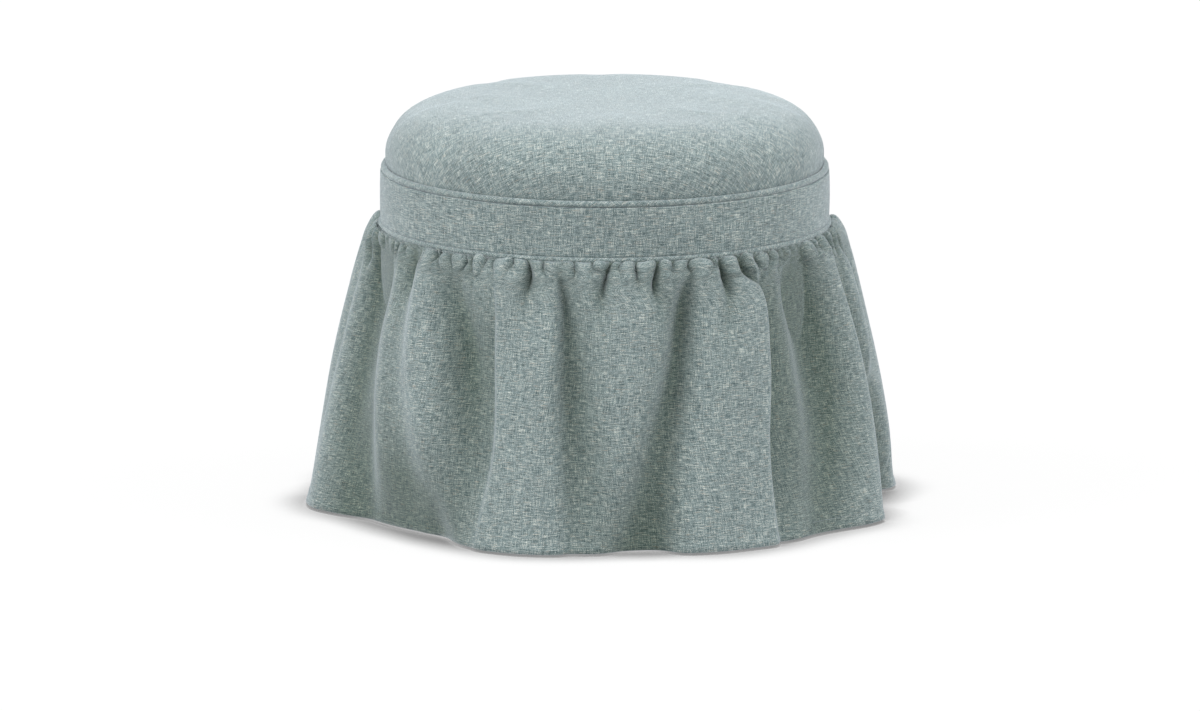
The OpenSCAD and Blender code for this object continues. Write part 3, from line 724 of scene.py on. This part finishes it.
# Round the back they are free: from one angle to the other, with lengths drawn from these, in mm
REAR_FROM = 96.0
REAR_TO = 266
REAR_RUNS = [14, 18, 24, 34, 52]
gathers = list(FRONT_GATHERS)
place = REAR_FROM
while place < REAR_TO:
    gathers.append((place, place + random.uniform(-1.5, 1.5), random.choice(REAR_RUNS),
                    random.uniform(6, 10)))
    place += random.uniform(3.8, 6.6)
gathers.sort()
# How far each bows on its way, the side that covers it and by how much, and its crease's width
gather_bows = [random.uniform(-1.5, 1.5) for g in gathers]
gather_sides = [random.choice([-1, 1]) for g in gathers]
gather_leans = [random.uniform(1.5, 5.0) for g in gathers]
slit_widths = [random.uniform(1.9, 3.4) for g in gathers]
for small in SMALL_GATHERS:
    gathers.append(small)
    gather_bows.append(random.uniform(-1.0, 1.0))
    gather_sides.append(random.choice([-1, 1]))
    gather_leans.append(random.uniform(1.0, 3.5))
    slit_widths.append(random.uniform(1.6, 2.6))
gather_bows = np.array(gather_bows)
GATHER_TOP, GATHER_END, GATHER_RUN, GATHER_DEEP = np.array(gathers, float).T
GATHER_DEEP = GATHER_DEEP * np.clip(1.3 + GATHER_RUN / 40, 1.4, 2.3)
slit_runs = np.clip(GATHER_RUN * 0.75, 11, 30)

# The puffs between them: their depth at the band, and the drop over which they fade, in mm
PUFF_DEPTH = 4.5
PUFF_FALL = 24
# A gather is gone at this many times its length
GATHER_FADED = 2.3
# A crease widens by this share of the drop; it is narrower on the side where a puff covers it
SLIT_WIDENING = 0.13
COVERED_SIDE = 0.75
OPEN_SIDE = 1.5
LEAN_AT = 4.5
# Gathers longer than this go on as troughs: where those come in, depth, half width, widening
LONG_RUN = 22
TROUGH_FROM = 12
TROUGH_SHARE = 0.55
TROUGH_HALF = 7
TROUGH_WIDENING = 0.07


def turn_from(angle, centre):
    """Degrees from a centre, the short way round."""
    return (angle - centre + 180) % 360 - 180


def fold_depth(angle, t):
    """How far the folds draw the cloth in, in mm."""
    depth = 0 * angle
    for lefts, rights, depths, left_spread, right_spread in FOLDS:
        left = float(glide(STATIONS, lefts, t))
        right = float(glide(STATIONS, rights, t))
        rise = 1 / (1 + np.exp(-np.clip(turn_from(angle, left) / left_spread, -40, 40)))
        fall = 1 / (1 + np.exp(np.clip(turn_from(angle, right) / right_spread, -40, 40)))
        near = np.abs(turn_from(angle, (left + right) / 2)) < 60
        depth = depth + FOLD_SCALE * float(glide(STATIONS, depths, t)) * rise * fall * near
    return depth


def gather_shape(angle, t):
    """Depth and sideways lean of the gathers, in mm: narrow creases between wide, soft puffs, each
    crease half covered by the puff beside it. The long ones go on below as soft troughs."""
    fallen = t * DROP / MM
    gone = fallen / GATHER_RUN
    path = np.minimum(gone, 1)
    at = GATHER_TOP + (GATHER_END - GATHER_TOP) * path + gather_bows * np.sin(math.pi * path)
    at = at % 360
    girth = CREST_RADIUS[0] * math.pi / 180
    puff = PUFF_DEPTH * math.exp(-((fallen / PUFF_FALL) ** 1.5))
    spread = np.sort(at)
    spread = np.concatenate([[spread[-1] - 360], spread, [spread[0] + 360]])
    here = angle % 360
    i = np.clip(np.searchsorted(spread, here, side="right") - 1, 0, len(spread) - 2)
    x = np.clip((here - spread[i]) / np.maximum(spread[i + 1] - spread[i], 0.3), 0, 1)
    depth = puff * (1 - np.sqrt(4 * x * (1 - x)))
    shove = 0 * angle
    for k in np.nonzero(gone < GATHER_FADED)[0]:
        off = turn_from(here, at[k]) * girth
        side = gather_sides[k]
        width = slit_widths[k] + SLIT_WIDENING * fallen
        slit = GATHER_DEEP[k] * math.exp(-((fallen / slit_runs[k]) ** 2))
        reach = np.abs(off) / (width * np.where(off * side > 0, COVERED_SIDE, OPEN_SIDE))
        depth = depth + slit * np.exp(-reach**1.6)
        lean = side * gather_leans[k] * math.exp(-((fallen / (0.8 * slit_runs[k])) ** 2))
        shove = shove - lean * np.exp(-(((off - side * LEAN_AT) / LEAN_AT) ** 2))
        if GATHER_RUN[k] > LONG_RUN:
            soft = (1 - math.exp(-fallen / TROUGH_FROM)) * math.exp(-1.2 * gone[k] ** 1.7)
            reach = np.abs(off) / (TROUGH_HALF + TROUGH_WIDENING * fallen)
            depth = depth + TROUGH_SHARE * GATHER_DEEP[k] * soft * np.exp(-reach**1.7)
    return depth, shove


# Slow waves of the whole cloth, in mm
DRIFT_WAVES = [(6, 1.3), (11, 1.1), (17, 0.8), (26, 0.5), (39, 0.3)]
SIDE_SEAM_DRAW = 1.1
SIDE_SEAM_HALF = 1.6
# The cloth starts at the seam under the band and swings out over this share of the drop
SEWN_AT = SEAM_R / MM
SWING_SHARE = 0.018
LEAST_STAND = 1.5
# Where it stands well out it first rises over its seam as a puff: by how much, in mm, and where
FULLY_PROUD = 14
PUFF_RISE = 4.6
PUFF_TOP_SHARE = 0.014
RISE_WAVES = [(31, 1.5), (47, 1.4), (83, 1.0)]
# Depths, in mm, at which a fold or a gather gets the full painted shade
FOLD_FULL_SHADE = 30
GATHER_FULL_SHADE = 16


def skirt_row(angle, t):
    """The cloth's radius, angle, height and painted shade at angles in degrees and a share of its drop.
    """
    crest = float(glide(CREST_AT, CREST_RADIUS, t))
    turns = np.radians(angle)
    folds = fold_depth(angle, t)
    gather, lean = gather_shape(angle, t)
    drift = wander(turns, DRIFT_WAVES, 2.2 * t) * min(1, 5 * t)
    full = crest - folds - gather + drift
    for seam in SIDE_SEAMS:
        off = turn_from(angle, seam) * crest * math.pi / 180
        full = full - SIDE_SEAM_DRAW * np.exp(-(off / SIDE_SEAM_HALF) ** 2)
    full = np.maximum(full, SEWN_AT + LEAST_STAND)
    out = 1 - math.exp(-((t / SWING_SHARE) ** 0.85))
    radius = SEWN_AT + (full - SEWN_AT) * out
    proud = np.clip((full - SEWN_AT) / FULLY_PROUD, 0, 1)
    rise = PUFF_RISE + wander(turns, RISE_WAVES, 0.9)
    down = t / PUFF_TOP_SHARE
    lift = rise * proud * down * math.exp(1 - down)
    shove = lean
    for angles, amounts, width in LAPS:
        off = turn_from(angle, float(glide(STATIONS, angles, t)))
        shove = shove + float(glide(STATIONS, amounts, t)) * np.exp(-(off / width) ** 2)
    shifted = turns + shove * out / radius
    height = SKIRT_TOP - DROP * t + lift * MM
    # Painted shade: the deeper the folds and gathers here, the darker the cloth is painted
    painted_fold_shade = np.clip(folds / FOLD_FULL_SHADE + gather / GATHER_FULL_SHADE, 0, 1)
    return radius * MM, shifted, height, painted_fold_shade


def cloth_columns(angle_fine, points):
    """Angles that share out the cloth's length evenly round one row."""
    run = run_along(np.concatenate([points, points[:1]]))
    at = np.linspace(0, run[-1], SKIRT_COLUMNS, endpoint=False)
    return np.interp(at, run, np.append(angle_fine, angle_fine[0] + 360))


def build_skirt():
    """The gathered cloth, its heading tucked in behind the welt and its hem turned up inside."""
    fine = np.linspace(-180, 180, TRIAL_COLUMNS, endpoint=False)
    shares = (np.arange(SKIRT_ROWS + 1) / SKIRT_ROWS) ** ROW_POWER
    rings, flat, painted_fold_shades = [], [], []

    def lay(ring, painted_fold_shade):
        """Adds a row of cloth below the last one."""
        step = float(np.linalg.norm(ring - rings[-1], axis=1).mean()) if rings else 0.0
        flat.append(flat[-1] + step if flat else 0.0)
        rings.append(ring)
        painted_fold_shades.append(painted_fold_shade)

    for t in shares:
        r, a, z, _ = skirt_row(fine, t)
        r, a, z, painted_fold_shade = skirt_row(cloth_columns(fine, round_points(r, a, z)), t)
        if not rings:
            # The heading, tucked in behind the welt, gets the full painted shade
            for height in (HEADING_TOP, SKIRT_TOP + 0.4 * MM):
                lay(round_points(HEADING_R, a, height), 0 * a + 1)
        over_hem = (1 - t) * DROP
        swell = HEM_SWELL * math.exp(-((over_hem / HEM_STIFF) ** 2))
        dip = STITCH_DIP * math.exp(-(((over_hem - HEM_TURN) / STITCH_DIP_HALF) ** 2))
        lay(round_points(r + swell - dip, a, z), painted_fold_shade)
    edge = rings[-1]
    cut = flat[-1]
    inward = edge[:, :2] / np.linalg.norm(edge[:, :2], axis=1, keepdims=True)
    for depth, rise in HEM_INSIDE:
        ring = edge.copy()
        ring[:, :2] -= inward * depth * MM
        ring[:, 2] += rise * MM
        lay(ring, painted_fold_shade)
    along = np.linspace(0, FLAT_LENGTH, SKIRT_COLUMNS + 1)
    uv = np.stack([np.stack([along, 0 * along - v], -1) for v in flat])
    made = ring_grid("skirt", np.array(rings), uv)
    # The painted shade is kept on the cloth's points for its material
    painted_shade_layer = made.data.attributes.new("painted_fold_shade", "FLOAT", "POINT")
    painted_shade_layer.data.foreach_set("value", np.array(painted_fold_shades, np.float32).ravel())
    thick = made.modifiers.new("cloth thickness", "SOLIDIFY")
    thick.thickness = CLOTH_T
    thick.offset = -1
    return made, np.array(rings[:-len(HEM_INSIDE)]), cut


skirt, skirt_rings, skirt_cut = build_skirt()
dress(skirt, cloth, "upholstery", "skirt_front", "skirt_rear")


# Hem stitches: short round stitches of thread along the turned-up hem

STITCH_SIDES = 6
STITCH_LENGTH = 3.0 * MM
STITCH_STEP = 4.4 * MM
STITCH_R = 0.35 * MM
STITCH_STAND = 0.3 * MM
# Along a stitch: share of its length, share of its thickness, and how far it stands out or sinks in
STITCH_PROFILE = [(0, 0.2, -0.6), (0.12, 0.85, 0.1), (0.5, 1, 1), (0.88, 0.85, 0.1), (1, 0.2, -0.6)]


def build_stitches(name, line):
    """Thread stitches along a closed line of points, each a short round-ended tube."""
    closed = np.concatenate([line, line[:1]])
    run = run_along(closed)
    count = int(run[-1] / STITCH_STEP)
    up = np.array([0, 0, 1.0])
    points, faces = [], []
    for k in range(count):
        start = run[-1] * k / count
        base = len(points)
        for share, size, rise in STITCH_PROFILE:
            at = start + share * STITCH_LENGTH
            middle = np.array([np.interp(at % run[-1], run, closed[:, i]) for i in range(3)])
            ahead = np.array([np.interp((at + 1 * MM) % run[-1], run, closed[:, i]) for i in range(3)])
            forward = ahead - middle
            forward = forward / max(np.linalg.norm(forward), 1e-9)
            out = np.cross(forward, up)
            out = out / max(np.linalg.norm(out), 1e-9)
            centre = middle + out * (STITCH_STAND * rise)
            for i in range(STITCH_SIDES):
                turn = TURN * i / STITCH_SIDES
                points.append(centre + STITCH_R * size * (out * math.cos(turn) + up * math.sin(turn)))
        for ring in range(len(STITCH_PROFILE) - 1):
            a = base + ring * STITCH_SIDES
            b = a + STITCH_SIDES
            for i in range(STITCH_SIDES):
                j = (i + 1) % STITCH_SIDES
                faces.append((a + i, a + j, b + j, b + i))
        faces.append(tuple(range(base + STITCH_SIDES - 1, base - 1, -1)))
        faces.append(tuple(range(len(points) - STITCH_SIDES, len(points))))
    return object_from(name, points, faces)


hem_row = int(np.argmin(np.abs(skirt_rings[:, :, 2].mean(1) - (HEM_Z + HEM_TURN))))
hem_stitches = build_stitches("hem_stitches", skirt_rings[hem_row])
dress(hem_stitches, thread, "upholstery")


# Dust cloth: black cloth stapled under the drum, slack between its staples

LEG_W = 40.6 * MM
LEG_CIRCLE = 212 * MM
LEG_ANGLES = [-135, -45, 135, 45]
RIM_STEPS = 160
NET_PITCH = 8 * MM
# How far it hangs in the middle, its slack ripples and its puckers at the staples
SAG = 2.6 * MM
RIPPLE = 2 * MM
PUCKER = 0.25 * MM
DUST_INSET = 0.7 * MM


def build_dust_cloth():
    """A disc of cloth cut out round the legs, sagging a little towards its middle."""
    radius = dust_high.x
    turns = [TURN * i / RIM_STEPS for i in range(RIM_STEPS)]
    points = [Vector((radius * math.cos(a), radius * math.sin(a))) for a in turns]
    edges = [(i, (i + 1) % RIM_STEPS) for i in range(RIM_STEPS)]
    holes = []
    for degrees in LEG_ANGLES:
        a = math.radians(degrees)
        along = Vector((math.cos(a), math.sin(a)))
        centre = along * LEG_CIRCLE
        side = Vector((-along.y, along.x))
        holes.append((centre, along, side))
        first = len(points)
        for p, q in CORNERS:
            points.append(centre + along * p * LEG_W / 2 + side * q * LEG_W / 2)
        edges += [(first + i, first + (i + 1) % 4) for i in range(4)]

    def inside_hole(p, grow):
        """Whether a point lies in a leg's hole that is made larger by some margin."""
        for centre, along, side in holes:
            off = p - centre
            if abs(off.dot(along)) < LEG_W / 2 + grow and abs(off.dot(side)) < LEG_W / 2 + grow:
                return True
        return False

    steps = int(radius / NET_PITCH) + 1
    for i in range(-steps, steps + 1):
        for j in range(-steps, steps + 1):
            p = Vector(((i + 0.5 * (j % 2)) * NET_PITCH, j * NET_PITCH * 0.87))
            if p.length < radius - 3 * MM and not inside_hole(p, 2 * MM):
                points.append(p)
    flat, _, faces, *_ = delaunay_2d_cdt(points, edges, [], 0, 1e-6)
    kept = []
    for face in faces:
        middle = sum((flat[i] for i in face), Vector((0, 0))) / len(face)
        if not inside_hole(middle, -0.2 * MM):
            kept.append(tuple(reversed(face)))
    solid = []
    for p in flat:
        share = p.length / radius
        angle = math.atan2(p.y, p.x)
        sag = SAG * max(0, 1 - share**2) + RIPPLE * math.sin(9 * angle) * share * (1 - share)
        pucker = PUCKER * math.cos(20 * angle) * max(0, (share - 0.8) / 0.2) ** 2
        solid.append((p.x, p.y, dust_high.z - DUST_INSET - sag + pucker))
    return object_from("dust_cloth", solid, kept, [(p.x, p.y) for p in flat])


dust_piece = build_dust_cloth()
dress(dust_piece, dust_cloth, "dust_cloth", "dust_cover")


# Floor and light: a white floor with a painted contact shadow and a little real shadow, and plain soft
# lamps

FLOOR_HALF = 14.0
# Painted contact shadow on the floor: how near the cloth has to be to darken it, and how much of the
# white the darkest place keeps
PAINTED_SHADOW_REACH = 68 * MM
PAINTED_SHADOW_DARKEST = 0.28
GLOW_SHARE = 0.9
BOUNCE = 0.55
ROOM_LIGHT = 0.97
LAMP_AWAY = 4.0


def seen_directly(tree):
    """1 for what the camera sees, straight or in a gloss, and 0 for the light that falls on cloth."""
    path = add(tree, "LightPath")
    return add(tree, "Math", {0: path.outputs["Is Camera Ray"],
                              1: path.outputs["Is Glossy Ray"]}, operation="MAXIMUM").outputs[0]


def build_floor():
    """A white floor; the camera sees it near white, darkened by the object's shadow, a little of it real
    and most of it a painted contact shadow.
    """
    corners = [(x * FLOOR_HALF, y * FLOOR_HALF, 0) for x, y in CORNERS]
    floor = object_from("floor", corners, [(0, 1, 2, 3)], smooth=False)
    material = bpy.data.materials.new("white_floor")
    tree = bare_tree(material)
    seen = seen_directly(tree)
    # Painted contact shadow: an occlusion test darkens the floor's colour and glow softly where the
    # cloth comes near it, in place of the little light that gets in under the hem
    near = add(tree, "AmbientOcclusion", {"Distance": PAINTED_SHADOW_REACH}, samples=12)
    painted_shadow = add(tree, "MapRange", {"Value": near.outputs["AO"], "From Min": 0.5,
                                   "From Max": 0.92, "To Min": PAINTED_SHADOW_DARKEST})
    white = add(tree, "VectorMath", {0: srgb("#f0f0f0")[:3], "Scale": painted_shadow.outputs[0]},
                operation="SCALE")
    paint = add(tree, "BsdfDiffuse", {"Color": white.outputs[0]})
    glow = add(tree, "Emission", {"Color": WHITE, "Strength": painted_shadow.outputs[0]})
    looked_at = add(tree, "MixShader", {0: GLOW_SHARE, 1: paint.outputs[0],
                                        2: glow.outputs[0]})
    # To the cloth the floor is an even, pale bounce, under the skirt too
    bounce = add(tree, "Emission", {"Color": WHITE, "Strength": BOUNCE})
    both = add(tree, "MixShader", {0: seen, 1: bounce.outputs[0], 2: looked_at.outputs[0]})
    # From below the floor lets the view through, so that the underside can be looked at
    below = add(tree, "NewGeometry").outputs["Backfacing"]
    clear = add(tree, "BsdfTransparent")
    shown = add(tree, "MixShader", {0: below, 1: both.outputs[0], 2: clear.outputs[0]})
    add(tree, "OutputMaterial", {"Surface": shown.outputs[0]})
    floor.data.materials.append(material)


def build_world():
    """White to the camera, a softer even light to everything else."""
    world = bpy.data.worlds.new("studio")
    bpy.context.scene.world = world
    tree = bare_tree(world)
    wall = add(tree, "Background", {"Color": WHITE, "Strength": 1.0})
    soft = add(tree, "Background", {"Color": WHITE, "Strength": ROOM_LIGHT})
    both = add(tree, "MixShader", {0: seen_directly(tree), 1: soft.outputs[0],
                                   2: wall.outputs[0]})
    add(tree, "OutputWorld", {"Surface": both.outputs[0]})


def sky_lamp(name, bearing, height, spread, strength):
    """A broad, far lamp at a bearing from the front and a height, in degrees, wide enough to be soft."""
    lamp = bpy.data.lights.new(name, "SUN")
    lamp.angle = math.radians(spread)
    lamp.energy = strength
    made = put_in_scene(name, lamp)
    b, h = math.radians(bearing), math.radians(height)
    towards = Vector((math.sin(b) * math.cos(h), -math.cos(b) * math.cos(h), math.sin(h)))
    made.location = towards * LAMP_AWAY
    made.rotation_mode = "QUATERNION"
    made.rotation_quaternion = (-towards).to_track_quat("-Z", "Y")


build_floor()
build_world()
sky_lamp("overhead", 175, 60, 50, 0.1)
sky_lamp("left_side", -72, 36, 30, 1.1)
sky_lamp("right_side", 76, 38, 34, 0.8)

bpy.context.scene.view_settings.view_transform = "Standard"
